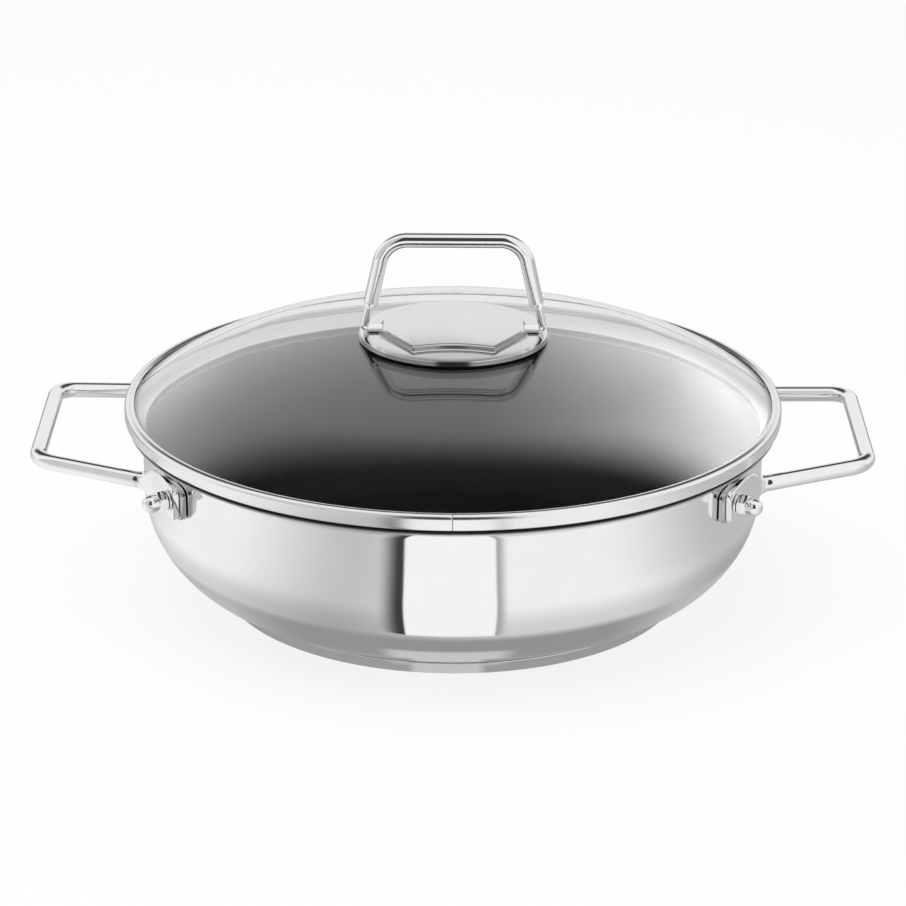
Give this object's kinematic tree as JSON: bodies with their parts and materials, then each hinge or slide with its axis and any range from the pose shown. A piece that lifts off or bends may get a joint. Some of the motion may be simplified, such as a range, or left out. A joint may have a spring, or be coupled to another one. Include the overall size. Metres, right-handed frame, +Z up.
{
  "type": "casserole pot with lid",
  "caption": "Shallow steel casserole with a nonstick lining and a sandwich base, bent-wire side handles bolted on with cap nuts, and a rimmed glass lid that lifts off by its wire handle.",
  "frame": {"origin": "middle of the base's underside, on the surface that the pot stands on", "axes": "+Z up along the pot's axis, +X towards the right side handle, -Y towards the front"},
  "size_m": [0.3646, 0.288, 0.1627],
  "materials": {
    "pot_steel": "mirror-polished stainless steel",
    "rim_steel": "mirror-polished stainless steel",
    "handle_wire": "polished stainless steel wire",
    "fixing_steel": "polished stainless steel",
    "nonstick": "dark grey nonstick coating",
    "core": "rolled aluminium",
    "lid_glass": "clear tempered glass",
    "gasket": "dark silicone"
  },
  "bodies": {
    "pot": {"pot_body": "pot_steel", "nonstick_lining": "nonstick", "base_cap": "pot_steel", "base_core": "core", "right_handle": "handle_wire", "right_front_bracket": "fixing_steel", "right_front_stud": "fixing_steel", "right_front_washer": "fixing_steel", "right_front_cap_nut": "fixing_steel", "right_rear_bracket": "fixing_steel", "right_rear_stud": "fixing_steel", "right_rear_washer": "fixing_steel", "right_rear_cap_nut": "fixing_steel", "left_handle": "handle_wire", "left_front_bracket": "fixing_steel", "left_front_stud": "fixing_steel", "left_front_washer": "fixing_steel", "left_front_cap_nut": "fixing_steel", "left_rear_bracket": "fixing_steel", "left_rear_stud": "fixing_steel", "left_rear_washer": "fixing_steel", "left_rear_cap_nut": "fixing_steel"},
    "lid": {"lid_glass": "lid_glass", "lid_rim": "rim_steel", "lid_handle_base": "rim_steel", "lid_handle": "handle_wire", "lid_bush": "fixing_steel", "lid_upper_gasket": "gasket", "lid_lower_gasket": "gasket", "lid_washer": "fixing_steel", "lid_screw": "fixing_steel"}
  },
  "joints": [
    {"name": "lid_lift", "type": "slide", "parent": "pot", "child": "lid", "axis": [0, 0, 1], "range_m": [0, 0.15]}
  ]
}
